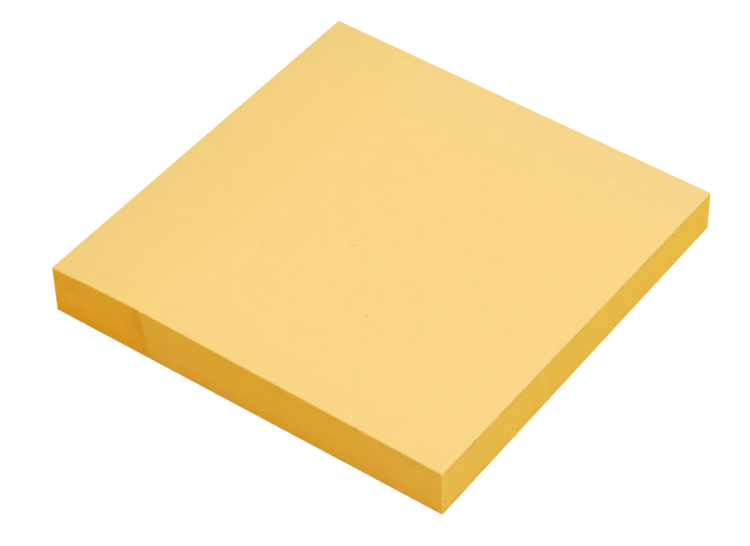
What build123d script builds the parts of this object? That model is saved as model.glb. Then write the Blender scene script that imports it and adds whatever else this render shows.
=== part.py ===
"""Sticky note pad: a block of square notes lying on a thin backing sheet.

Millimetres, +Z up. The origin is at the centre of the underside, the glued edge is
towards +Y and the free edge is towards -Y. Every note carries a strip of light adhesive
along its glued edge, so the block is a little thicker there than at its free edge.
"""

import os

from build123d import *

# Driving dimensions.
NOTE_WIDTH = 76.0  # along X, the length of the glued edge
NOTE_DEPTH = 76.0  # along Y, from the glued edge to the free edge
NOTE_COUNT = 100  # notes in a full pad
PAPER_THICKNESS = 0.082  # paper of one note
GLUE_THICKNESS = 0.013  # adhesive on the back of one note
GLUE_BAND_WIDTH = 18.0  # strip that the adhesive covers, measured from the glued edge
GLUED_EDGE_PRESS = 0.4  # how far the cutter's clamp pressed the glued edge below the band's crest
BACKING_THICKNESS = 0.1  # release sheet under the last note's adhesive

# Places that follow from them.
GLUED_EDGE_Y = NOTE_DEPTH / 2
FREE_EDGE_Y = -NOTE_DEPTH / 2
BAND_START_Y = GLUED_EDGE_Y - GLUE_BAND_WIDTH
BLOCK_BOTTOM_Z = BACKING_THICKNESS
FREE_EDGE_Z = BLOCK_BOTTOM_Z + NOTE_COUNT * PAPER_THICKNESS
CREST_Z = BLOCK_BOTTOM_Z + NOTE_COUNT * (PAPER_THICKNESS + GLUE_THICKNESS)
GLUED_EDGE_Z = CREST_Z - GLUED_EDGE_PRESS


def make_note_block():
    """The whole stack of notes as one solid, from its outline seen along X.

    The top climbs in a straight line from the free edge to the start of the glue band,
    where a faint crease shows, and then bends level and down to the pressed glued edge.
    """
    bottom_free = (FREE_EDGE_Y, BLOCK_BOTTOM_Z)
    bottom_glued = (GLUED_EDGE_Y, BLOCK_BOTTOM_Z)
    top_glued = (GLUED_EDGE_Y, GLUED_EDGE_Z)
    crest = (BAND_START_Y, CREST_Z)
    top_free = (FREE_EDGE_Y, FREE_EDGE_Z)
    with BuildPart() as block:
        with BuildSketch(Plane.YZ):
            with BuildLine():
                Polyline(crest, top_free, bottom_free, bottom_glued, top_glued)
                TangentArc(crest, top_glued, tangent=(1, 0))
            make_face()
        extrude(amount=NOTE_WIDTH / 2, both=True)
    return block.part


def make_backing_sheet():
    """The release sheet that the block lies on, cut flush with the notes."""
    on_floor = (Align.CENTER, Align.CENTER, Align.MIN)
    return Box(NOTE_WIDTH, NOTE_DEPTH, BACKING_THICKNESS, align=on_floor)


nodes = {
    "note_block": make_note_block(),
    "backing_sheet": make_backing_sheet(),
}

os.makedirs("parts", exist_ok=True)
for name, shape in nodes.items():
    export_step(shape, f"parts/{name}.step")
    print(f"{name}: {len(shape.solids())} solid, {shape.volume / 1000:.3f} cm3")
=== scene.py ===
"""Sticky note pad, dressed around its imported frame.

The pad is a stack of square notes, each held to the one below by a strip of light
adhesive along the glued edge (+Y), lying on a thin backing sheet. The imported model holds
the stack as one solid. Here it becomes separate notes and strips of adhesive, made by
Geometry Nodes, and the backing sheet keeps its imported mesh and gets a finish.
"""

import logging
import math
from dataclasses import dataclass
from enum import Enum

import bpy
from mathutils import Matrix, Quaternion, Vector


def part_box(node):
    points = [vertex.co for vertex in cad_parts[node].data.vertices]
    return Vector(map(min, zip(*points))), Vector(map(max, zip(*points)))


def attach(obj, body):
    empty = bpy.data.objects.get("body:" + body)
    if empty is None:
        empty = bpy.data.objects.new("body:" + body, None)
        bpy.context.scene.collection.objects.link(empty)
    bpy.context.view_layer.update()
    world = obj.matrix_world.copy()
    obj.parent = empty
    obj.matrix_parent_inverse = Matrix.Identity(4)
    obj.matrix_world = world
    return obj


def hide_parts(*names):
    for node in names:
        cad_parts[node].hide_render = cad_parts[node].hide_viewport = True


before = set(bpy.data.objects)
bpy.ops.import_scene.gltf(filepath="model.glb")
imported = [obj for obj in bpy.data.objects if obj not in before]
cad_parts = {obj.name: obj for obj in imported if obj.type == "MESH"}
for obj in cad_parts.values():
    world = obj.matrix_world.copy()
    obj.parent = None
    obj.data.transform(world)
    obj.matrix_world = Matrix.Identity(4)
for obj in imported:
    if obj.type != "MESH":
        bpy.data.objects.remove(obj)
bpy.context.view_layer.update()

MM = 0.001
BODY = "root"
NOTE_NODE = "note_block"
BACKING_NODE = "backing_sheet"
BREAK_SIZE = 0.5 * MM
TONE_RANGE = (0.25, 0.75)
RELIEF_RANGE = (0.2, 0.8)

Triple = tuple[float, float, float]
log = logging.getLogger("note_pad")


# ---- Node helpers


class Kind(Enum):
    """The socket types that a node group can take or give."""

    GEOMETRY = "NodeSocketGeometry"
    FLOAT = "NodeSocketFloat"
    COUNT = "NodeSocketInt"
    VECTOR = "NodeSocketVector"
    COLOUR = "NodeSocketColor"
    FINISH = "NodeSocketMaterial"


@dataclass(frozen=True)
class Port:
    """One named input or output of a node group."""

    name: str
    kind: Kind = Kind.FLOAT
    value: object = None


Ports = tuple[Port | str, ...]


class Signal:
    """A number that flows through a node tree and can be added, multiplied and shaped."""

    def __init__(self, wiring: "Wiring", socket: bpy.types.NodeSocket) -> None:
        """Holds the tree's wiring and the socket that the number comes out of."""
        self.wiring = wiring
        self.socket = socket

    def math(self, operation: str, *values: object) -> "Signal":
        """Passes the number through a Math node.

        Args:
            operation: the Math node's operation.
            values: its second and third inputs, numbers or signals.

        Returns:
            The node's result.
        """
        inputs = dict(enumerate((self, *values)))
        node = self.wiring.node("ShaderNodeMath", inputs, operation=operation)
        return Signal(self.wiring, node.outputs[0])

    def __add__(self, other: object) -> "Signal":
        """Returns this number plus another."""
        return self.math("ADD", other)

    def __mul__(self, other: object) -> "Signal":
        """Returns this number times another."""
        return self.math("MULTIPLY", other)

    def __sub__(self, other: object) -> "Signal":
        """Returns this number less another."""
        return self.math("SUBTRACT", other)

    def __rsub__(self, other: object) -> "Signal":
        """Returns another number less this one."""
        return (self * -1.0) + other

    def __truediv__(self, other: object) -> "Signal":
        """Returns this number over another."""
        return self.math("DIVIDE", other)

    def __rtruediv__(self, other: float) -> "Signal":
        """Returns another number over this one."""
        return self.math("POWER", -1.0) * other

    def __abs__(self) -> "Signal":
        """Returns this number without its sign."""
        return self.math("ABSOLUTE")

    def ramp(self, low: object, high: object, to_low: object = 0.0, to_high: object = 1.0,
             smooth: bool = False) -> "Signal":
        """Maps one range onto another and stops at its ends.

        Args:
            low: the number that gives to_low.
            high: the number that gives to_high.
            to_low: the result at low.
            to_high: the result at high.
            smooth: whether the ends are eased.

        Returns:
            The mapped number.
        """
        node = self.wiring.node(
            "ShaderNodeMapRange",
            {"Value": self, "From Min": low, "From Max": high, "To Min": to_low, "To Max": to_high},
            interpolation_type="SMOOTHSTEP" if smooth else "LINEAR",
        )
        return Signal(self.wiring, node.outputs["Result"])


class Wiring:
    """Makes, sets and links the nodes of one tree."""

    def __init__(self, tree: bpy.types.NodeTree) -> None:
        """Holds the tree that the nodes go into."""
        self.tree = tree

    def node(self, kind: str, inputs: dict | None = None, **options: object) -> bpy.types.Node:
        """Makes one node.

        Args:
            kind: the node's type name.
            inputs: by socket name or number, a signal or socket to link or a value to set.
            options: the node's own settings.

        Returns:
            The node.
        """
        made = self.tree.nodes.new(kind)
        for name, value in options.items():
            setattr(made, name, value)
        for key, value in (inputs or {}).items():
            source = value.socket if isinstance(value, Signal) else value
            if isinstance(source, bpy.types.NodeSocket):
                self.tree.links.new(source, made.inputs[key])
            else:
                made.inputs[key].default_value = source
        return made

    def group(self, tree: bpy.types.NodeTree, inputs: dict | None = None) -> bpy.types.Node:
        """Places a node group of this tree's own kind, with its inputs linked or set."""
        kind = self.tree.bl_idname.replace("Tree", "Group")
        return self.node(kind, inputs, node_tree=tree)

    def signal(self, node: bpy.types.Node, output: str | int = 0) -> Signal:
        """Returns one output of a node as a signal."""
        return Signal(self, node.outputs[output])

    def split(self, vector: object) -> tuple[Signal, Signal, Signal]:
        """Returns a vector's X, Y and Z as signals."""
        node = self.node("ShaderNodeSeparateXYZ", {0: vector})
        return tuple(Signal(self, node.outputs[i]) for i in range(3))

    def join(self, x: object, y: object, z: object) -> Signal:
        """Returns a vector made of three numbers."""
        return self.signal(self.node("ShaderNodeCombineXYZ", {0: x, 1: y, 2: z}))

    def noise(self, size: object, vector: object, detail: float = 2.0,
              stretch: Triple = (1, 1, 1)) -> Signal:
        """Makes smooth noise, from 0 to 1 about a middle of 0.5.

        Args:
            size: the noise's grain in metres.
            vector: the coordinates that it follows, in metres.
            detail: how many finer layers it has.
            stretch: how many times longer the grain is along each axis.

        Returns:
            The noise.
        """
        squeeze = tuple(1.0 / s for s in stretch)
        place = self.node("ShaderNodeVectorMath", {0: vector, 1: squeeze}, operation="MULTIPLY")
        scale = 1.0 / size
        made = self.node("ShaderNodeTexNoise", {"Vector": place.outputs[0], "Scale": scale, "Detail": detail})
        return self.signal(made)

    def vector_math(self, operation: str, first: object, second: object, output: str = "Vector") -> Signal:
        """Returns one output of a Vector Math node with two inputs."""
        made = self.node("ShaderNodeVectorMath", {0: first, 1: second}, operation=operation)
        return self.signal(made, output)

    def mix(self, share: object, first: object, second: object, blend: str = "MIX") -> Signal:
        """Mixes two colours.

        Args:
            share: how far from the first colour to the blend, from 0 to 1.
            first: a colour, as a signal or four numbers.
            second: the other colour.
            blend: how the second meets the first, such as MIX or MULTIPLY.

        Returns:
            The mixed colour.
        """
        inputs = {0: share, 6: first, 7: second}
        return self.signal(self.node("ShaderNodeMix", inputs, data_type="RGBA", blend_type=blend), 2)

    def tint(self, share: object, colour: Signal, tint: Triple) -> Signal:
        """Multiplies a colour by a tint where the share is 1, and leaves it where it is 0."""
        return self.mix(share, colour, rgba(tint), "MULTIPLY")


class TreeKind(Enum):
    """The two kinds of node tree that the script builds groups for."""

    SHADER = "ShaderNodeTree"
    GEOMETRY = "GeometryNodeTree"


class Group(Wiring):
    """A node group being built, with named inputs to take from and outputs to give to."""

    def __init__(self, name: str, kind: TreeKind, inputs: Ports, outputs: Ports) -> None:
        """Starts the group.

        Args:
            name: the group's name.
            kind: which kind of tree it is.
            inputs: its inputs in order. A plain name is an input that takes a number.
            outputs: its outputs in order.
        """
        super().__init__(bpy.data.node_groups.new(name, kind.value))
        for entry, way in [(p, "INPUT") for p in inputs] + [(p, "OUTPUT") for p in outputs]:
            port = Port(entry) if isinstance(entry, str) else entry
            socket = self.tree.interface.new_socket(port.name, in_out=way, socket_type=port.kind.value)
            if port.value is not None:
                socket.default_value = port.value
        self.start = self.node("NodeGroupInput")
        self.end = self.node("NodeGroupOutput")

    def given(self, name: str) -> Signal:
        """Returns one of the group's inputs as a signal."""
        return Signal(self, self.start.outputs[name])

    def give(self, name: str, result: Signal) -> None:
        """Links a signal to one of the group's outputs."""
        self.tree.links.new(result.socket, self.end.inputs[name])


def rgba(colour: Triple) -> tuple[float, float, float, float]:
    """Returns a colour with full alpha."""
    return (*colour, 1.0)


# ---- Sizes


@dataclass(frozen=True)
class PadSize:
    """The pad's sizes, in metres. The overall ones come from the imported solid.

    Left is the -X side. The lean is how far the top note lies over from the lowest one.
    The creep is how far the adhesive has spread beyond its strip, at the top and the foot.
    The creep turn is the share of the height above which it starts to shrink.
    """

    half_width: float
    half_depth: float
    base: float
    crest: float
    note_count: int = 100
    paper: float = 0.07 * MM
    band_width: float = 18.0 * MM
    glued_left: float = 8.92 * MM
    crest_left: float = 9.5 * MM
    free_left: float = 8.47 * MM
    free_right: float = 7.26 * MM
    lean_x: float = 0.43 * MM
    lean_y: float = 0.17 * MM
    creep_top: float = 0.0 * MM
    creep_foot: float = 1.3 * MM
    creep_turn: float = 0.4

    @property
    def band_start(self) -> float:
        """Returns where the glue band starts, along Y."""
        return self.half_depth - self.band_width

    @property
    def band_share(self) -> float:
        """Returns how far along the depth the glue band starts, from 0 at the free edge."""
        return 1.0 - self.band_width / (2 * self.half_depth)

    @property
    def crest_right(self) -> float:
        """Returns the right side's height at the band's start, on a straight line."""
        return self.free_right + (self.crest - self.free_right) * self.band_share

    def top_at(self, x: float, y: float) -> float:
        """Returns the height of the stack's top at a place on the pad.

        Args:
            x: the place across the pad, in metres.
            y: the place along it.

        Returns:
            The height, in metres.
        """
        across = 0.5 + x / (2 * self.half_width)
        along = 0.5 + y / (2 * self.half_depth)
        free = self.free_left + (self.free_right - self.free_left) * across
        crest = self.crest_left + (self.crest_right - self.crest_left) * across
        glued = self.glued_left + (self.crest - self.glued_left) * across
        climb = min(along / self.band_share, 1.0)
        beyond = max(along - self.band_share, 0.0) / (1.0 - self.band_share)
        bend = beyond * (beyond + (1.0 - beyond) * across)
        return free + (crest - free) * climb + (glued - crest) * bend

    @classmethod
    def from_frame(cls) -> "PadSize":
        """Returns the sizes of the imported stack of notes."""
        low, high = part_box(NOTE_NODE)
        return cls(half_width=high[0], half_depth=high[1], base=low[2], crest=high[2])


# ---- Shader groups


class PaperEffects:
    """The shader groups that more than one finish uses, each built once.

    The edges are the two levels of a noise between which a mask goes from 0 to 1.
    """

    FIBRE_STRETCH = 5
    LAYER_STRETCH = (60, 60, 1)
    NICK_STRETCH = (1, 1, 40)
    BLOTCH_SCALE = 4.0
    WANDER_STRETCH = (4, 40, 1)
    SPECK_STRETCH = (1.6, 1.6, 1)
    CLUSTER_SCALE = 9.0
    DASH_EDGES = (0.47, 0.56)
    SPECK_EDGES = (0.52, 0.6)
    CLUSTER_EDGES = (0.45, 0.6)
    BREAK_EDGES = (0.4, 0.6)

    def __init__(self) -> None:
        """Builds every group."""
        self.grain = self.make_grain()
        self.band = self.make_band()
        self.streaks = self.make_streaks()
        self.corner = self.make_corner_highlight()
        self.reach = self.make_reach()
        self.specks = self.make_specks()
        self.mark = self.make_mark()

    @staticmethod
    def place(wiring: Wiring) -> Signal:
        """Returns the surface's own coordinates, in metres."""
        return wiring.signal(wiring.node("ShaderNodeTexCoord"), "Object")

    def make_grain(self) -> bpy.types.NodeTree:
        """Builds the paper's cloudy formation and felted fibres.

        Returns:
            The group. Tone is a shade from 0 to 1 about 0.5, and Relief is a height.
        """
        inputs = ("Cloud Size", "Fibre Size", "Fibre Share")
        group = Group("Paper grain", TreeKind.SHADER, inputs, ("Tone", "Relief"))
        spot = self.place(group)
        fibre = group.given("Fibre Size")
        clouds = group.noise(group.given("Cloud Size"), spot, detail=3.0)
        along = group.noise(fibre, spot, stretch=(self.FIBRE_STRETCH, 1, 1))
        across = group.noise(fibre, spot, stretch=(1, self.FIBRE_STRETCH, 1))
        felt = (along + across) * 0.5
        group.give("Tone", clouds + (felt - clouds) * group.given("Fibre Share"))
        group.give("Relief", felt)
        return group.tree

    def make_band(self) -> bpy.types.NodeTree:
        """Builds the mask of the glue band, whose edge wanders a little from note to note.

        Returns:
            The group. Mask is 1 in the band, Border is 1 on the ragged dashes just inside
            its start, and Towards Edge climbs from there to the glued edge. Retreat is how
            far the start moves along Y between the turn height and the top height.
        """
        names = ("Band Start", "Glued Edge", "Turn Height", "Top Height", "Retreat", "Softness",
                 "Wander", "Wander Size", "Dash Size", "Dash Reach")
        group = Group("Glue band", TreeKind.SHADER, names, ("Mask", "Border", "Towards Edge"))
        spot = self.place(group)
        _, y, z = group.split(spot)
        start = group.given("Band Start")
        soft = group.given("Softness")
        wander_size = group.given("Wander Size")
        wander = group.noise(wander_size, spot, detail=3.0, stretch=self.WANDER_STRETCH) - 0.5
        retreat = z.ramp(group.given("Turn Height"), group.given("Top Height")) * group.given("Retreat")
        begin = start + retreat + wander * group.given("Wander")
        mask = y.ramp(begin - soft, begin + soft, smooth=True)
        group.give("Mask", mask)
        dashes = group.noise(group.given("Dash Size"), spot, detail=1.0).ramp(*self.DASH_EDGES)
        inside = y.ramp(begin, begin + group.given("Dash Reach"), 1.0, 0.0)
        group.give("Border", mask * inside * dashes)
        group.give("Towards Edge", y.ramp(start, group.given("Glued Edge")))
        return group.tree

    def make_streaks(self) -> bpy.types.NodeTree:
        """Builds the look of a cut face: streaks along the notes and faint nicks down the cut.

        Returns:
            The group. Tone is a shade from 0 to 1 about 0.5, and Relief is a height.
        """
        names = ("Layer Size", "Nick Size", "Layers", "Nicks")
        group = Group("Cut streaks", TreeKind.SHADER, names, ("Tone", "Relief"))
        spot = self.place(group)
        nick = group.given("Nick Size")
        layers = group.noise(group.given("Layer Size"), spot, stretch=self.LAYER_STRETCH) - 0.5
        nicks = group.noise(nick, spot, stretch=self.NICK_STRETCH) - 0.5
        blotches = group.noise(nick * self.BLOTCH_SCALE, spot, detail=3.0) - 0.5
        change = layers * group.given("Layers") + (nicks + blotches) * group.given("Nicks")
        group.give("Tone", change.ramp(-0.5, 0.5))
        group.give("Relief", layers + nicks)
        return group.tree

    def make_corner_highlight(self) -> bpy.types.NodeTree:
        """Builds the mask of the pad's upright corners, where a painted highlight lightens the cut.

        Returns:
            The group. Mask is 1 at a corner and 0 beyond the reach. The leans are how far
            the stack moves over for each metre that it rises above its middle.
        """
        names = ("Half Width", "Half Depth", "Middle", "Lean X", "Lean Y", "Reach")
        group = Group("Soft corners", TreeKind.SHADER, names, ("Mask",))
        x, y, z = group.split(self.place(group))
        rise = z - group.given("Middle")
        from_side = group.given("Half Width") - abs(x - rise * group.given("Lean X"))
        from_end = group.given("Half Depth") - abs(y - rise * group.given("Lean Y"))
        inside = from_side.math("MAXIMUM", from_end)
        group.give("Mask", inside.ramp(0.0, group.given("Reach"), 1.0, 0.0, smooth=True))
        return group.tree

    def make_reach(self) -> bpy.types.NodeTree:
        """Builds a mask that fades out evenly with the distance from one upright line.

        Returns:
            The group. Mask is 1 on the line and 0 beyond the reach.
        """
        inputs = (Port("Foot", Kind.VECTOR), "Reach")
        group = Group("Reach of a corner", TreeKind.SHADER, inputs, ("Mask",))
        x, y, _ = group.split(self.place(group))
        away = group.vector_math("DISTANCE", group.join(x, y, 0.0), group.given("Foot"), "Value")
        group.give("Mask", away.ramp(0.0, group.given("Reach"), 1.0, 0.0))
        return group.tree

    def make_specks(self) -> bpy.types.NodeTree:
        """Builds loose clusters of specks, such as paper dust and torn fibres leave on a cut.

        Returns:
            The group. Mask is 1 on a speck, and Amount is how many of them show.
        """
        group = Group("Cut specks", TreeKind.SHADER, ("Speck Size", "Amount"), ("Mask",))
        spot = self.place(group)
        size = group.given("Speck Size")
        specks = group.noise(size, spot, detail=1.0, stretch=self.SPECK_STRETCH).ramp(*self.SPECK_EDGES)
        clusters = group.noise(size * self.CLUSTER_SCALE, spot).ramp(*self.CLUSTER_EDGES)
        group.give("Mask", specks * clusters * group.given("Amount"))
        return group.tree

    def make_mark(self) -> bpy.types.NodeTree:
        """Builds one speck, scuff or painted shadow line: what lies within a radius of a short line, broken
        up.

        Returns:
            The group. Mask is 1 on the line and fades to 0 at the radius.
        """
        ends = (Port("From", Kind.VECTOR), Port("To", Kind.VECTOR))
        inputs = (*ends, "Radius", "Break Size", "Breaks")
        group = Group("Mark", TreeKind.SHADER, inputs, ("Mask",))
        spot = self.place(group)
        offset = group.vector_math("SUBTRACT", spot, group.given("From"))
        run = group.vector_math("SUBTRACT", group.given("To"), group.given("From"))
        length_squared = group.vector_math("DOT_PRODUCT", run, run, "Value")
        along = group.vector_math("DOT_PRODUCT", offset, run, "Value") / length_squared
        share = along.ramp(0.0, 1.0)
        foot = group.vector_math("MULTIPLY", run, group.join(share, share, share))
        away = group.vector_math("DISTANCE", offset, foot, "Value")
        near = away.ramp(0.0, group.given("Radius"), 1.0, 0.0, smooth=True)
        broken = group.noise(group.given("Break Size"), spot).ramp(*self.BREAK_EDGES)
        group.give("Mask", near * (1.0 - broken * group.given("Breaks")))
        return group.tree


# ---- Finishes


class Surface:
    """A material being built: its wiring, its Principled shader and its bump."""

    def __init__(self, name: str, gloss: float) -> None:
        """Starts the material.

        Args:
            name: the material's name.
            gloss: the shader's specular level.
        """
        self.material = bpy.data.materials.new(name)
        self.material.use_nodes = True
        self.wiring = Wiring(self.material.node_tree)
        self.shader = self.material.node_tree.nodes["Principled BSDF"]
        self.shader.inputs["Specular IOR Level"].default_value = gloss

    def effect(self, tree: bpy.types.NodeTree, inputs: dict) -> bpy.types.Node:
        """Places a shader group with this material's own values."""
        return self.wiring.group(tree, inputs)

    def grain(self, effects: PaperEffects, cloud: float, fibre: float, share: float) -> bpy.types.Node:
        """Places the paper grain with its cloud size, fibre size and share of fibre."""
        return self.effect(effects.grain, {"Cloud Size": cloud, "Fibre Size": fibre, "Fibre Share": share})

    def mottle(self, colour: Triple, tone: Signal, shade: float, light: float = 1.0) -> Signal:
        """Returns a colour that goes with the tone from a darker to a lighter share of itself."""
        darker, lighter = (rgba(tuple(c * share for c in colour)) for share in (shade, light))
        return self.wiring.mix(tone, darker, lighter)

    def paint(self, colour: Signal, roughness: Signal) -> None:
        """Links the colour and the roughness."""
        self.wiring.tree.links.new(colour.socket, self.shader.inputs["Base Color"])
        self.wiring.tree.links.new(roughness.socket, self.shader.inputs["Roughness"])

    def emboss(self, height: Signal, depth: float) -> None:
        """Raises the surface by a height from 0 to 1, over a depth in metres."""
        bump = self.wiring.node("ShaderNodeBump", {"Height": height, "Distance": depth, "Strength": 1.0})
        self.wiring.tree.links.new(bump.outputs[0], self.shader.inputs["Normal"])


class Face(Enum):
    """The faces that can carry a stroke. Each takes a place on the face, in millimetres."""

    TOP = "x and y"
    SIDE = "distance from the glued edge, and height, on the -X side"
    FRONT = "distance from the -X side, and height, on the free edge"

    def at(self, size: PadSize, place: tuple[float, float]) -> Triple:
        """Turns a place on the face into a point of the pad.

        Args:
            size: the pad's sizes.
            place: the place on the face, in millimetres.

        Returns:
            The point, in metres.
        """
        first, second = place[0] * MM, place[1] * MM
        if self is Face.TOP:
            return (first, second, size.top_at(first, second))
        rise = second / size.crest
        if self is Face.SIDE:
            return (-size.half_width + size.lean_x * rise, size.half_depth - first, second)
        return (-size.half_width + first, -size.half_depth + size.lean_y * rise, second)


@dataclass(frozen=True)
class Stroke:
    """A speck, a scuff, a nick or a painted shadow line on one face: a short line with a radius, in
    millimetres.
    """

    start: tuple[float, float]
    end: tuple[float, float]
    radius: float
    tint: Triple
    breaks: float = 0.0

    def draw(self, surface: "Surface", effects: PaperEffects, colour: Signal, face: Face,
             size: PadSize) -> Signal:
        """Tints a colour along the stroke.

        Args:
            surface: the material being built.
            effects: the shared shader groups.
            colour: the colour so far.
            face: the face that the stroke is on.
            size: the pad's sizes.

        Returns:
            The colour with the stroke on it.
        """
        inputs = {
            "From": face.at(size, self.start),
            "To": face.at(size, self.end),
            "Radius": self.radius * MM,
            "Break Size": BREAK_SIZE,
            "Breaks": self.breaks,
        }
        share = surface.wiring.signal(surface.effect(effects.mark, inputs))
        return surface.wiring.tint(share, colour, self.tint)


@dataclass(frozen=True)
class SheetFinish:
    """The broad faces of a note: matte tinted paper, a little deeper over the glue, with painted light and
    shade across its top.
    """

    colour: Triple = (0.8465, 0.597, 0.21)
    shade: float = 0.975
    light: float = 1.025
    glue_tint: Triple = (0.995, 0.995, 0.885)
    # Painted shade: the top of the note darker towards the glued edge, where it slopes away from the light.
    glued_edge_painted_shade: Triple = (0.945, 0.945, 1.0)
    # Painted light: the top lighter and a little whiter towards the free edge, which faces the softbox.
    free_edge_painted_light: Triple = (1.008, 1.013, 1.04)
    # Painted shade: the top a little darker and deeper in colour towards the -X edge.
    left_edge_painted_shade: Triple = (0.991, 0.987, 0.94)
    # Painted shade and painted sheen: the top darker in red and bluer towards the +X edge.
    right_edge_painted_sheen: Triple = (0.966, 0.982, 1.055)
    left_reach: float = 9.0 * MM
    right_reach: float = 17.0 * MM
    cloud_size: float = 2.5 * MM
    fibre_size: float = 0.09 * MM
    fibre_share: float = 0.45
    relief: float = 0.012 * MM
    roughness: tuple[float, float] = (0.92, 0.78)
    gloss: float = 0.25
    band_creep: float = 0.5 * MM
    band_softness: float = 1.3 * MM
    band_wander: float = 2.5 * MM
    band_wander_size: float = 0.9 * MM
    flecks: tuple[Stroke, ...] = (
        Stroke((-17.9, -9.6), (-17.9, -9.75), 0.24, (0.85, 0.78, 0.55)),
        Stroke((-6.5, 1.9), (-6.3, 1.45), 0.24, (0.87, 0.8, 0.62)),
        Stroke((-14.2, 13.8), (-14.1, 13.8), 0.28, (0.91, 0.89, 0.75)),
        Stroke((-8.8, -2.0), (-8.7, -2.0), 0.34, (0.96, 0.95, 0.62)),
        Stroke((-12.6, -1.8), (-12.5, -1.7), 0.42, (0.99, 0.98, 0.8)),
        Stroke((-14.5, -9.3), (-14.4, -9.2), 0.4, (0.99, 0.98, 0.8)),
    )

    def build(self, effects: PaperEffects, size: PadSize) -> bpy.types.Material:
        """Builds the material.

        Args:
            effects: the shared shader groups.
            size: the pad's sizes.

        Returns:
            The material.
        """
        surface = Surface("note_paper", self.gloss)
        wiring = surface.wiring
        grain = surface.grain(effects, self.cloud_size, self.fibre_size, self.fibre_share)
        tone = wiring.signal(grain, "Tone").ramp(*TONE_RANGE)
        colour = surface.mottle(self.colour, tone, self.shade, self.light)
        band = surface.effect(
            effects.band,
            {
                "Band Start": size.band_start - self.band_creep,
                "Glued Edge": size.half_depth,
                "Softness": self.band_softness,
                "Wander": self.band_wander,
                "Wander Size": self.band_wander_size,
            },
        )
        x, y, _ = wiring.split(PaperEffects.place(wiring))
        left, right = -size.half_width, size.half_width
        # Painted light and shade on the top: darker towards the glued edge and the -X edge, lighter towards
        # the free edge, and darker with a painted sheen towards the +X edge.
        tints = (
            (wiring.signal(band, "Mask"), self.glue_tint),
            (wiring.signal(band, "Towards Edge"), self.glued_edge_painted_shade),
            (y.ramp(size.band_start, -size.half_depth), self.free_edge_painted_light),
            (x.ramp(left, left + self.left_reach, 1.0, 0.0), self.left_edge_painted_shade),
            (x.ramp(right - self.right_reach, right), self.right_edge_painted_sheen),
        )
        for share, tint in tints:
            colour = wiring.tint(share, colour, tint)
        for fleck in self.flecks:
            colour = fleck.draw(surface, effects, colour, Face.TOP, size)
        relief = wiring.signal(grain, "Relief")
        surface.paint(colour, relief.ramp(*RELIEF_RANGE, *self.roughness))
        surface.emboss(relief, self.relief)
        return surface.material


class EdgeFacing(Enum):
    """Which way a cut face points, which sets its colour: the ±X sides take a deeper, more saturated orange
    than the free and glued ends.
    """

    ALONG = "note_edge_along_grain"
    ACROSS = "note_edge_across_grain"


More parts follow.
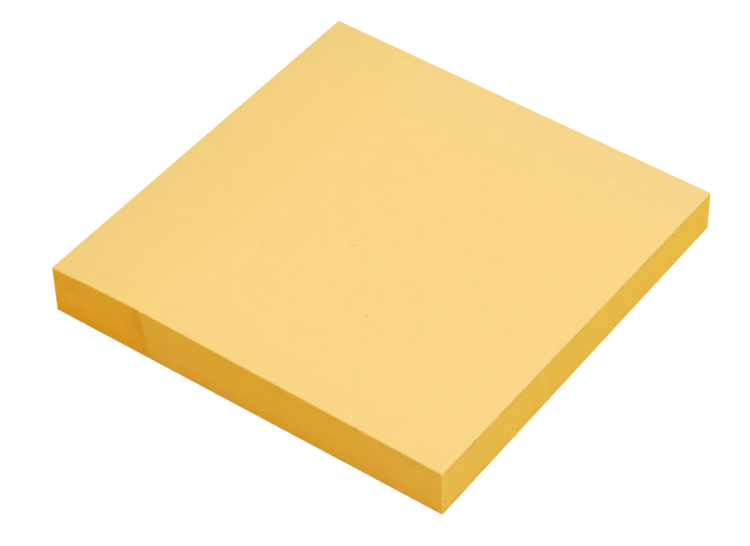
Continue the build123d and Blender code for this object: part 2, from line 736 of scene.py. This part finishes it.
@dataclass(frozen=True)
class CutEdgeFinish:
    """A cut face of the stack: hundreds of paper edges, deeper in colour than the sheets."""

    # Which way these faces point, the ±X sides or the free and glued ends.
    grain: EdgeFacing
    face: Face
    colour: Triple
    # Painted shade: the cut faces darker and deeper in colour towards the floor.
    foot_tint: Triple
    glue_tint: Triple = (0.925, 0.85, 1.2)
    glue_foot_tint: Triple = (0.99, 0.96, 0.35)
    # Painted highlight along the edges of the top few notes.
    lip_tint: Triple = (1.04, 1.14, 1.6)
    # Painted highlight on the upright corners.
    corner_painted_highlight: Triple = (1.1, 1.17, 1.7)
    # Painted light: the cut faces lighter and yellower towards the front corner between -X and the free edge.
    near_tint: Triple = (0.985, 1.045, 3.0)
    border_tint: Triple = (0.76, 0.65, 0.35)
    speck_tint: Triple = (0.8, 0.69, 0.5)
    near_reach: float = 24.0 * MM
    corner_reach: float = 0.5 * MM
    foot_share: float = 0.45
    highlight_notes: tuple[float, float] = (5.0, 3.0)
    top_notes: tuple[float, float] = (14.0, 4.0)
    foot_notes: float = 9.0
    speck_size: float = 0.32 * MM
    speck_amount: float = 0.25
    speck_gain: float = 0.8
    band_softness: float = 0.25 * MM
    band_wander: float = 0.8 * MM
    band_wander_size: float = 0.8 * MM
    dash_size: float = 0.42 * MM
    dash_reach: float = 2.4 * MM
    dash_rise: float = 0.8
    dash_foot: float = 0.3
    layer_size: float = 0.25 * MM
    layer_change: float = 0.9
    nick_size: float = 0.5 * MM
    nick_change: float = 0.6
    relief: float = 0.01 * MM
    roughness: tuple[float, float] = (0.95, 0.85)
    shade: float = 0.94
    light: float = 1.06
    strokes: tuple[Stroke, ...] = ()

    @classmethod
    def along_grain(cls) -> "CutEdgeFinish":
        """Sets the finish of the sides, which show the glue band and a few scuffs.

        Returns:
            The finish.
        """
        scuff = (1.23, 1.6, 7.0)
        faint = (1.14, 1.3, 3.0)
        dark = (0.82, 0.7, 0.4)
        strokes = (
            Stroke((1.9, 4.3), (2.5, 4.4), 0.24, scuff, 0.5),
            Stroke((3.2, 4.1), (3.4, 4.1), 0.2, scuff),
            Stroke((4.4, 4.2), (4.7, 4.2), 0.22, scuff),
            Stroke((5.0, 4.0), (5.0, 3.9), 0.18, scuff),
            Stroke((7.2, 4.5), (8.3, 4.7), 0.24, faint, 0.3),
            Stroke((5.1, 8.0), (4.7, 7.5), 0.24, dark),
            Stroke((4.6, 7.2), (4.4, 5.9), 0.26, dark, 0.5),
            Stroke((31.0, 3.4), (31.6, 3.3), 0.3, faint),
            Stroke((47.6, 3.1), (48.2, 3.3), 0.3, faint),
            Stroke((55.2, 4.6), (55.7, 4.8), 0.32, faint),
            Stroke((64.1, 7.3), (64.4, 7.0), 0.3, faint),
        )
        return cls(
            EdgeFacing.ALONG,
            Face.SIDE,
            colour=(0.81, 0.403, 0.0095),
            foot_tint=(1.0, 0.93, 0.35),
            lip_tint=(1.2, 1.5, 6.0),
            strokes=strokes,
        )

    @classmethod
    def across_grain(cls) -> "CutEdgeFinish":
        """Sets the finish of the free and glued edges, with a dark dot near one corner and a painted contact
        shadow along the foot there.

        Returns:
            The finish.
        """
        strokes = (
            Stroke((0.8, 2.25), (0.84, 2.25), 0.32, (0.25, 0.2, 0.25)),
            # Painted contact shadow along the foot of the free edge, by the -X corner.
            Stroke((0.1, 0.2), (6.0, 0.15), 0.4, (0.62, 0.58, 0.6), 0.4),
        )
        return cls(
            EdgeFacing.ACROSS,
            Face.FRONT,
            colour=(0.747, 0.458, 0.0499),
            foot_tint=(1.0, 1.0, 0.97),
            near_tint=(1.005, 1.01, 1.12),
            strokes=strokes,
        )

    def build(self, effects: PaperEffects, size: PadSize) -> bpy.types.Material:
        """Builds the material.

        Args:
            effects: the shared shader groups.
            size: the pad's sizes.

        Returns:
            The material.
        """
        surface = Surface(self.grain.value, gloss=0.0)
        wiring = surface.wiring
        streaks = surface.effect(
            effects.streaks,
            {
                "Layer Size": self.layer_size,
                "Nick Size": self.nick_size,
                "Layers": self.layer_change,
                "Nicks": self.nick_change,
            },
        )
        colour = surface.mottle(self.colour, wiring.signal(streaks, "Tone"), self.shade, self.light)
        for share, tint in self.tints(surface, effects, size):
            colour = wiring.tint(share, colour, tint)
        for stroke in self.strokes:
            colour = stroke.draw(surface, effects, colour, self.face, size)
        relief = wiring.signal(streaks, "Relief")
        surface.paint(colour, relief.ramp(-0.5, 0.5, *self.roughness))
        surface.emboss(relief, self.relief)
        return surface.material

    def tints(self, surface: Surface, effects: PaperEffects, size: PadSize) -> list[tuple[Signal, Triple]]:
        """Makes the masks of the face's parts, and pairs each with its tint.

        Args:
            surface: the material being built.
            effects: the shared shader groups.
            size: the pad's sizes.

        Returns:
            The pairs, in the order that they are laid on.
        """
        wiring = surface.wiring
        band = surface.effect(
            effects.band,
            {
                "Band Start": size.band_start - size.creep_foot,
                "Glued Edge": size.half_depth,
                "Turn Height": size.crest * size.creep_turn,
                "Top Height": size.crest,
                "Retreat": size.creep_foot - size.creep_top,
                "Softness": self.band_softness,
                "Wander": self.band_wander,
                "Wander Size": self.band_wander_size,
                "Dash Size": self.dash_size,
                "Dash Reach": self.dash_reach,
            },
        )
        _, _, z = wiring.split(PaperEffects.place(wiring))
        # Painted shade towards the foot, where the floor shades the cut faces.
        foot = z.ramp(size.base, size.crest * self.foot_share, 1.0, 0.0)
        note = wiring.signal(wiring.node("ShaderNodeAttribute", attribute_name="note"), "Fac")
        # Painted highlight on the top few notes' edges.
        lip = note.ramp(*(size.note_count - n for n in self.highlight_notes))
        top = note.ramp(*(size.note_count - n for n in self.top_notes))
        ends = top + note.ramp(0.0, self.foot_notes, 1.0, 0.0)
        # Painted highlight on the upright corners.
        corner = surface.effect(
            effects.corner,
            {
                "Half Width": size.half_width - size.lean_x / 2,
                "Half Depth": size.half_depth - size.lean_y / 2,
                "Middle": size.crest / 2,
                "Lean X": size.lean_x / size.crest,
                "Lean Y": size.lean_y / size.crest,
                "Reach": self.corner_reach,
            },
        )
        # Painted light, fading out with the distance from the front corner.
        front = (-size.half_width, -size.half_depth, 0.0)
        near = surface.effect(effects.reach, {"Foot": front, "Reach": self.near_reach})
        amount = ends * self.speck_gain + self.speck_amount
        specks = surface.effect(effects.specks, {"Speck Size": self.speck_size, "Amount": amount})
        mask = wiring.signal(band, "Mask")
        rise = z.ramp(0.0, size.crest * self.dash_rise, self.dash_foot, 1.0)
        # Among these, painted shade lies at the foot, a painted highlight on the top notes' edges and the
        # corners, and painted light towards the front corner.
        return [
            (mask, self.glue_tint),
            (mask * foot, self.glue_foot_tint),
            (wiring.signal(band, "Border") * rise, self.border_tint),
            (foot, self.foot_tint),
            (lip, self.lip_tint),
            (wiring.signal(corner), self.corner_painted_highlight),
            (wiring.signal(near), self.near_tint),
            (wiring.signal(specks), self.speck_tint),
        ]


@dataclass(frozen=True)
class GlueFinish:
    """The light adhesive between the notes: clear, tinted by the paper around it."""

    colour: Triple = (0.72, 0.37, 0.008)
    shade: float = 0.9
    cloud_size: float = 0.8 * MM
    fibre_size: float = 0.1 * MM
    fibre_share: float = 0.6
    gloss: float = 0.05
    tone_range: tuple[float, float] = (0.3, 0.7)
    roughness: tuple[float, float] = (0.6, 0.4)

    def build(self, effects: PaperEffects) -> bpy.types.Material:
        """Builds the material.

        Args:
            effects: the shared shader groups.

        Returns:
            The material.
        """
        surface = Surface("note_adhesive", self.gloss)
        grain = surface.grain(effects, self.cloud_size, self.fibre_size, self.fibre_share)
        tone = surface.wiring.signal(grain, "Tone")
        colour = surface.mottle(self.colour, tone, self.shade)
        surface.paint(colour, tone.ramp(*self.tone_range, *self.roughness))
        return surface.material


@dataclass(frozen=True)
class BackingFinish:
    """The release sheet under the last note: pale, smooth and a little waxy."""

    colour: Triple = (0.79, 0.77, 0.71)
    shade: float = 0.955
    cloud_size: float = 3.5 * MM
    fibre_size: float = 0.12 * MM
    fibre_share: float = 0.35
    gloss: float = 0.45
    relief: float = 0.006 * MM
    roughness: tuple[float, float] = (0.56, 0.44)

    def build(self, effects: PaperEffects) -> bpy.types.Material:
        """Builds the material.

        Args:
            effects: the shared shader groups.

        Returns:
            The material.
        """
        surface = Surface("backing_paper", self.gloss)
        grain = surface.grain(effects, self.cloud_size, self.fibre_size, self.fibre_share)
        tone = surface.wiring.signal(grain, "Tone").ramp(*TONE_RANGE)
        relief = surface.wiring.signal(grain, "Relief")
        colour = surface.mottle(self.colour, tone, self.shade)
        surface.paint(colour, relief.ramp(*RELIEF_RANGE, *self.roughness))
        surface.emboss(relief, self.relief)
        return surface.material


# ---- The stack of notes


class StackTrees:
    """The geometry node groups that lay out notes and adhesive from the same heights."""

    CORNERS = ("Free Left", "Free Right", "Crest Left", "Crest Right", "Glued Left", "Glued Right")
    SHAPE = ("Base", *CORNERS, "Band Share", "Notes In Pad", "Paper")
    RUN_NOTES = 9.0
    RUN_SHIFT = 0.6
    SINGLE_NOTES = 0.37
    SINGLE_SHIFT = 0.4
    AXIS_STEP = 31.0
    SEED_STEP = 7.0
    NOISE_REACH = 0.3
    GLUED_LOOSENESS = 0.4
    LIFT_RANGE = (0.3, 0.7)
    RAGGED_SIZE = 0.6
    STRIP_POINTS = 4

    def __init__(self) -> None:
        """Builds the shared height group, then the two trees that use it."""
        self.heights = self.make_heights()
        self.spread = self.make_spread()
        self.notes = self.make_notes()
        self.glue = self.make_glue()

    def make_heights(self) -> bpy.types.NodeTree:
        """Builds the height of one note's room in the stack at a place on the pad.

        Returns:
            The group. Pitch is the height of stack that each note takes up there, and From
            Band grows from 0 over the glue to 1 at the free edge.
        """
        names = ("Across", "Along", *self.SHAPE)
        group = Group("Stack height", TreeKind.GEOMETRY, names, ("Pitch", "From Band"))
        across, along, share = group.given("Across"), group.given("Along"), group.given("Band Share")
        free, crest, glued = (
            across.ramp(0.0, 1.0, group.given(row + " Left"), group.given(row + " Right"))
            for row in ("Free", "Crest", "Glued")
        )
        climb = along.ramp(0.0, share)
        beyond = along.ramp(share, 1.0)
        bend = beyond * (beyond + (1.0 - beyond) * across)
        top = free + (crest - free) * climb + (glued - crest) * bend
        group.give("Pitch", (top - group.given("Base")) / group.given("Notes In Pad"))
        group.give("From Band", 1.0 - climb)
        return group.tree

    def make_spread(self) -> bpy.types.NodeTree:
        """Builds how far each note lies out of line, in small runs of notes and singly.

        Returns:
            The group. Shift is from -1 to 1 in X and Y.
        """
        outputs = (Port("Shift", Kind.VECTOR),)
        group = Group("Note spread", TreeKind.GEOMETRY, ("Note", "Seed"), outputs)
        note, seed = group.given("Note"), group.given("Seed")
        shifts = []
        for axis in range(2):
            place = group.join(note, seed * self.SEED_STEP + axis * self.AXIS_STEP, 0.0)
            runs = group.noise(self.RUN_NOTES, place, detail=1.0) - 0.5
            single = group.noise(self.SINGLE_NOTES, place, detail=0.0) - 0.5
            shifts.append(self.swing(runs, self.RUN_SHIFT) + self.swing(single, self.SINGLE_SHIFT))
        group.give("Shift", group.join(shifts[0], shifts[1], 0.0))
        return group.tree

    def swing(self, noise: Signal, most: float) -> Signal:
        """Returns noise about 0 as a swing to either side, up to the most given."""
        return noise.ramp(-self.NOISE_REACH, self.NOISE_REACH, -most, most)

    def start_tree(self, name: str, extra: Ports) -> Group:
        """Starts a tree with the inputs that both trees share, and a mesh output.

        Args:
            name: the tree's name.
            extra: the inputs that only this tree has.

        Returns:
            The tree being built.
        """
        shared = ("Width", "Depth", "Lean X", "Lean Y", *self.SHAPE)
        counts = ("First Note", Port("Notes Built", Kind.COUNT, 1), "Edge Spread", "Seed")
        inputs = (*shared, *counts, *extra)
        return Group(name, TreeKind.GEOMETRY, inputs, (Port("Mesh", Kind.GEOMETRY),))

    def lay_out(self, group: Group, sheet: Signal) -> tuple[Signal, Signal]:
        """Makes one copy of a unit sheet for each note.

        Args:
            group: the tree being built.
            sheet: the unit sheet's mesh.

        Returns:
            The copies as one mesh, and each one's note number.
        """
        inputs = {"Count": group.given("Notes Built"), "Offset": (0.0, 0.0, 0.0)}
        line = group.node("GeometryNodeMeshLine", inputs)
        inputs = {"Points": line.outputs[0], "Instance": sheet}
        copies = group.node("GeometryNodeInstanceOnPoints", inputs)
        number = group.signal(group.node("GeometryNodeInputIndex")) + group.given("First Note")
        inputs = {"Geometry": copies.outputs[0], "Name": "note", "Value": number}
        named = group.node("GeometryNodeStoreNamedAttribute", inputs, domain="INSTANCE", data_type="FLOAT")
        real = group.node("GeometryNodeRealizeInstances", {0: named.outputs[0]})
        note = group.node("GeometryNodeInputNamedAttribute", {"Name": "note"}, data_type="FLOAT")
        return group.signal(real), group.signal(note)

    def heights_at(self, group: Group, across: Signal, along: Signal) -> bpy.types.Node:
        """Places the height group at a spot on the pad, both from 0 to 1."""
        shape = {name: group.given(name) for name in self.SHAPE}
        return group.group(self.heights, {"Across": across, "Along": along, **shape})

    def lie(self, group: Group, mesh: Signal, note: Signal, across: Signal, along: Signal,
            z: Signal) -> Signal:
        """Moves the copies' points to their places.

        Args:
            group: the tree being built.
            mesh: the copies as one mesh.
            note: each point's note number.
            across: how far across the pad each point is, from 0 to 1.
            along: how far along it, from 0 at the free edge to 1 at the glued edge.
            z: each point's height.

        Returns:
            The mesh in place.
        """
        spread = group.given("Edge Spread")
        shift = group.group(self.spread, {"Note": note, "Seed": group.given("Seed")})
        shift_x, shift_y, _ = group.split(shift.outputs[0])
        loose = along.ramp(0.0, 1.0, 1.0, self.GLUED_LOOSENESS)
        rise = note / (group.given("Notes In Pad") - 1.0) - 0.5
        lean_x, lean_y = group.given("Lean X"), group.given("Lean Y")
        width = group.given("Width") - spread * 2.0 - abs(lean_x)
        depth = group.given("Depth") - spread * 2.0 - abs(lean_y)
        x = (across - 0.5) * width + shift_x * spread * loose + rise * lean_x
        y = (along - 0.5) * depth + shift_y * spread * loose + rise * lean_y
        inputs = {"Geometry": mesh, "Position": group.join(x, y, z)}
        return group.signal(group.node("GeometryNodeSetPosition", inputs))

    def dress(self, group: Group, mesh: Signal, finish: str, keep: Signal | None = None) -> Signal:
        """Gives a mesh one of the tree's finishes.

        Args:
            group: the tree being built.
            mesh: the mesh so far.
            finish: the name of the finish's input.
            keep: which faces get it, or None for all of them.

        Returns:
            The mesh with the finish on it.
        """
        inputs = {"Geometry": mesh, "Material": group.given(finish)}
        if keep is not None:
            inputs["Selection"] = keep
        return group.signal(group.node("GeometryNodeSetMaterial", inputs))

    def make_notes(self) -> bpy.types.NodeTree:
        """Builds the tree that makes whole notes, from a closed unit sheet.

        Returns:
            The tree.
        """
        cells = [Port(n, Kind.COUNT, 4) for n in ("Cells Across", "Cells Free", "Cells Over Glue")]
        finishes = [Port(n, Kind.FINISH) for n in ("Sheet", "Edge Along Grain", "Edge Across Grain")]
        group = self.start_tree("Notes", (*cells, "Lift", "Lift Size", *finishes))
        free_cells, band_cells = group.given("Cells Free"), group.given("Cells Over Glue")
        rows = free_cells + band_cells
        inputs = {
            "Size": (1.0, 1.0, 1.0),
            "Vertices X": group.given("Cells Across") + 1.0,
            "Vertices Y": rows + 1.0,
            "Vertices Z": 2,
        }
        sheet = group.signal(group.node("GeometryNodeMeshCube", inputs))
        mesh, note = self.lay_out(group, sheet)
        unit_x, unit_y, unit_z = group.split(group.node("GeometryNodeInputPosition").outputs[0])
        across, row = unit_x + 0.5, unit_y + 0.5
        knee, share = free_cells / rows, group.given("Band Share")
        along = row.ramp(0.0, knee, 0.0, share) + row.ramp(knee, 1.0, 0.0, 1.0 - share)
        heights = self.heights_at(group, across, along)
        pitch = group.signal(heights, "Pitch")
        loose = group.signal(heights, "From Band")
        ripple = group.noise(group.given("Lift Size"), group.join(across, along, 0.0), detail=1.0)
        lift = group.given("Lift") * ripple.ramp(*self.LIFT_RANGE) * loose * loose * loose
        under = (0.5 - unit_z) * group.given("Paper")
        z = group.given("Base") + (note + 1.0) * pitch - under + lift
        mesh = self.lie(group, mesh, note, across, along, z)
        mesh = self.dress(group, mesh, "Sheet")
        normal_x, normal_y, _ = group.split(group.node("GeometryNodeInputNormal").outputs[0])
        # Faces that point along ±X take the sides' finish, and faces along ±Y the ends' finish.
        mesh = self.dress(group, mesh, "Edge Along Grain", abs(normal_x).math("GREATER_THAN", 0.5))
        mesh = self.dress(group, mesh, "Edge Across Grain", abs(normal_y).math("GREATER_THAN", 0.5))
        group.give("Mesh", mesh)
        return group.tree

    def make_glue(self) -> bpy.types.NodeTree:
        """Builds the tree that makes the strips of adhesive, one under each note.

        Returns:
            The tree.
        """
        names = ("Ragged", "Creep Top", "Creep Foot", "Creep Turn", "Clearance")
        group = self.start_tree("Glue strips", (*names, Port("Adhesive", Kind.FINISH)))
        points = self.STRIP_POINTS
        inputs = {"Size": (1.0, 1.0, 1.0), "Vertices X": points, "Vertices Y": points, "Vertices Z": 2}
        sheet = group.signal(group.node("GeometryNodeMeshCube", inputs))
        mesh, note = self.lay_out(group, sheet)
        unit_x, unit_y, unit_z = group.split(group.node("GeometryNodeInputPosition").outputs[0])
        wander = group.noise(self.RAGGED_SIZE, group.join(note, unit_x, 0.5)) - 0.5
        count = group.given("Notes In Pad")
        turn = count * group.given("Creep Turn")
        creep = note.ramp(turn, count, group.given("Creep Foot"), group.given("Creep Top"))
        ragged = self.swing(wander, 1.0) * group.given("Ragged")
        start = group.given("Band Share") - creep + ragged
        across = unit_x + 0.5
        along = (unit_y + 0.5).ramp(0.0, 1.0, start, 1.0)
        pitch = group.signal(self.heights_at(group, across, along), "Pitch")
        room = pitch - group.given("Paper") - group.given("Clearance") * 2.0
        low = group.given("Base") + note * pitch + group.given("Clearance")
        z = low + (unit_z + 0.5) * room
        mesh = self.lie(group, mesh, note, across, along, z)
        group.give("Mesh", self.dress(group, mesh, "Adhesive"))
        return group.tree


def grow(name: str, tree: bpy.types.NodeTree, inputs: dict) -> bpy.types.Object:
    """Runs a geometry tree and keeps its result as a plain mesh.

    Args:
        name: the new object's name.
        tree: the tree.
        inputs: the tree's inputs by name.

    Returns:
        The object, with no modifier left on it.
    """
    seed = bpy.data.objects.new(name + "_seed", bpy.data.meshes.new(name + "_seed"))
    bpy.context.scene.collection.objects.link(seed)
    modifier = seed.modifiers.new("make", "NODES")
    modifier.node_group = tree
    sockets = {s.name: s.identifier for s in tree.interface.items_tree if s.in_out == "INPUT"}
    for key, value in inputs.items():
        modifier[sockets[key]] = value
    depsgraph = bpy.context.evaluated_depsgraph_get()
    mesh = bpy.data.meshes.new_from_object(seed.evaluated_get(depsgraph))
    mesh.name = name
    bpy.data.objects.remove(seed)
    piece = bpy.data.objects.new(name, mesh)
    bpy.context.scene.collection.objects.link(piece)
    return piece


@dataclass(frozen=True)
class NoteStack:
    """The notes and the adhesive between them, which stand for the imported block."""

    size: PadSize
    edge_spread: float = 0.01 * MM
    seed: float = 3.0
    top_lift: float = 0.12 * MM
    lift_share: float = 0.25
    ragged_share: float = 0.002
    glue_clearance: float = 0.0015 * MM

    def shared_inputs(self, first: int, count: int) -> dict:
        """Gathers the inputs that both trees take, for a run of notes.

        Args:
            first: the number of the run's lowest note, from 0.
            count: how many notes the run has.

        Returns:
            The inputs by name.
        """
        size = self.size
        return {
            "Width": 2 * size.half_width,
            "Depth": 2 * size.half_depth,
            "Base": size.base,
            "Free Left": size.free_left,
            "Free Right": size.free_right,
            "Crest Left": size.crest_left,
            "Crest Right": size.crest_right,
            "Glued Left": size.glued_left,
            "Glued Right": size.crest,
            "Lean X": size.lean_x,
            "Lean Y": size.lean_y,
            "Band Share": size.band_share,
            "Notes In Pad": float(size.note_count),
            "Paper": size.paper,
            "First Note": float(first),
            "Notes Built": count,
            "Edge Spread": self.edge_spread,
            "Seed": self.seed,
        }

    def build(self, effects: PaperEffects) -> list[bpy.types.Object]:
        """Makes and dresses the lower notes, the top note and the adhesive.

        Args:
            effects: the shared shader groups.

        Returns:
            The pieces.
        """
        trees = StackTrees()
        finishes = {
            "Sheet": SheetFinish().build(effects, self.size),
            "Edge Along Grain": CutEdgeFinish.along_grain().build(effects, self.size),
            "Edge Across Grain": CutEdgeFinish.across_grain().build(effects, self.size),
        }
        last = self.size.note_count - 1
        coarse = {"Cells Across": 4, "Cells Free": 5, "Cells Over Glue": 3, "Lift": 0.0}
        fine = {"Cells Across": 90, "Cells Free": 69, "Cells Over Glue": 21, "Lift": self.top_lift}
        ripple = {"Lift Size": self.lift_share, **finishes}
        lower = {**self.shared_inputs(0, last), **coarse, **ripple}
        upper = {**self.shared_inputs(last, 1), **fine, **ripple}
        strips = {
            **self.shared_inputs(0, self.size.note_count),
            "Ragged": self.ragged_share,
            "Creep Top": self.size.creep_top / (2 * self.size.half_depth),
            "Creep Foot": self.size.creep_foot / (2 * self.size.half_depth),
            "Creep Turn": self.size.creep_turn,
            "Clearance": self.glue_clearance,
            "Adhesive": GlueFinish().build(effects),
        }
        pieces = [
            grow("lower_notes", trees.notes, lower),
            grow("top_note", trees.notes, upper),
            grow("adhesive_strips", trees.glue, strips),
        ]
        for piece in pieces:
            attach(piece, BODY)
            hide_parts(NOTE_NODE)
        return pieces


@dataclass(frozen=True)
class BackingSheet:
    """The release sheet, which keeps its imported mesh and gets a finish."""

    finish: BackingFinish = BackingFinish()

    def dress(self, effects: PaperEffects) -> bpy.types.Object:
        """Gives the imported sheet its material.

        Args:
            effects: the shared shader groups.

        Returns:
            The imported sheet's object.
        """
        sheet = bpy.data.objects[BACKING_NODE]
        material = self.finish.build(effects)
        for slot in sheet.material_slots:
            slot.material = material
        return sheet


# ---- The studio


@dataclass(frozen=True)
class Studio:
    """The floor, the lights and the camera."""

    floor_side: float = 12.0
    floor_gap: float = 0.01 * MM
    floor_colour: Triple = (0.93, 0.93, 0.93)
    floor_roughness: float = 0.9
    floor_glow: Triple = (0.28, 0.3, 0.33)
    sky: float = 0.45
    backdrop: float = 0.97
    overhead: float = 1.99
    overhead_angle: float = 60.0
    overhead_place: Triple = (0.0, -0.15, 1.0)
    softbox_power: float = 0.85
    softbox_side: float = 0.6
    softbox_place: Triple = (-0.15, -0.8, 0.5)
    aim: Triple = (-6.04 * MM, -2.28 * MM, 4.7 * MM)
    azimuth: float = -51.84
    elevation: float = 43.7
    roll: float = -2.51
    distance: float = 390.8 * MM
    lens: float = 117.5
    sensor: float = 36.0
    nearest: float = 10.0 * MM

    def build(self) -> None:
        """Makes the floor, the lights and the camera."""
        self.make_floor()
        self.make_sky()
        self.make_lights()
        self.make_camera()

    def make_floor(self) -> None:
        """Makes the pale floor just under the pad, a table lit faintly from below."""
        half = self.floor_side / 2
        mesh = bpy.data.meshes.new("floor")
        z = -self.floor_gap
        corners = [(-half, -half, z), (half, -half, z), (half, half, z), (-half, half, z)]
        mesh.from_pydata(corners, [], [(0, 1, 2, 3)])
        floor = bpy.data.objects.new("floor", mesh)
        bpy.context.scene.collection.objects.link(floor)
        surface = Surface("floor", gloss=0.0)
        surface.shader.inputs["Roughness"].default_value = self.floor_roughness
        surface.shader.inputs["Base Color"].default_value = rgba(self.floor_colour)
        surface.shader.inputs["Emission Color"].default_value = rgba(self.floor_glow)
        surface.shader.inputs["Emission Strength"].default_value = 1.0
        mesh.materials.append(surface.material)

    def make_sky(self) -> None:
        """Makes the soft light from all round, and the pale backdrop that the camera sees."""
        world = bpy.data.worlds.new("studio")
        world.use_nodes = True
        wiring = Wiring(world.node_tree)
        background = world.node_tree.nodes["Background"]
        seen = wiring.signal(wiring.node("ShaderNodeLightPath"), "Is Camera Ray")
        strength = seen * (self.backdrop - self.sky) + self.sky
        world.node_tree.links.new(strength.socket, background.inputs["Strength"])
        background.inputs["Color"].default_value = (1.0, 1.0, 1.0, 1.0)
        bpy.context.scene.world = world

    def make_lights(self) -> None:
        """Makes a broad light overhead and a softbox beyond the free edge."""
        sun = bpy.data.lights.new("overhead", "SUN")
        sun.energy = self.overhead
        sun.angle = math.radians(self.overhead_angle)
        self.hang(sun, self.overhead_place)
        box = bpy.data.lights.new("softbox", "AREA")
        box.energy = self.softbox_power
        box.size = self.softbox_side
        self.hang(box, self.softbox_place)

    def hang(self, light: bpy.types.Light, place: Triple) -> None:
        """Hangs a light facing the pad, out of the camera's sight.

        Args:
            light: the light.
            place: where it hangs, in metres.
        """
        lamp = bpy.data.objects.new(light.name, light)
        lamp.location = place
        lamp.rotation_mode = "QUATERNION"
        lamp.rotation_quaternion = (-Vector(place)).to_track_quat("-Z", "Y")
        lamp.visible_camera = False
        bpy.context.scene.collection.objects.link(lamp)

    def make_camera(self) -> None:
        """Makes the camera, which looks down on the corner between the free edge and -X."""
        data = bpy.data.cameras.new("camera")
        data.lens = self.lens
        data.sensor_width = self.sensor
        data.clip_start = self.nearest
        turn, rise = math.radians(self.azimuth), math.radians(self.elevation)
        back = Vector((math.sin(turn) * math.cos(rise), -math.cos(turn) * math.cos(rise), math.sin(rise)))
        camera = bpy.data.objects.new("camera", data)
        camera.location = Vector(self.aim) + back * self.distance
        camera.rotation_mode = "QUATERNION"
        level = (-back).to_track_quat("-Z", "Y")
        camera.rotation_quaternion = level @ Quaternion((0.0, 0.0, 1.0), math.radians(self.roll))
        bpy.context.scene.collection.objects.link(camera)
        bpy.context.scene.camera = camera


def main() -> None:
    """Builds the studio and the pad's pieces in order, and reports each one."""
    logging.basicConfig(level=logging.INFO, format="%(name)s: %(message)s")
    bpy.context.scene.view_settings.view_transform = "Standard"
    Studio().build()
    effects = PaperEffects()
    size = PadSize.from_frame()
    for piece in NoteStack(size).build(effects):
        log.info("%s has %d faces", piece.name, len(piece.data.polygons))
    sheet = BackingSheet().dress(effects)
    log.info("%s keeps its packed mesh", sheet.name)


if __name__ == "__main__":
    main()
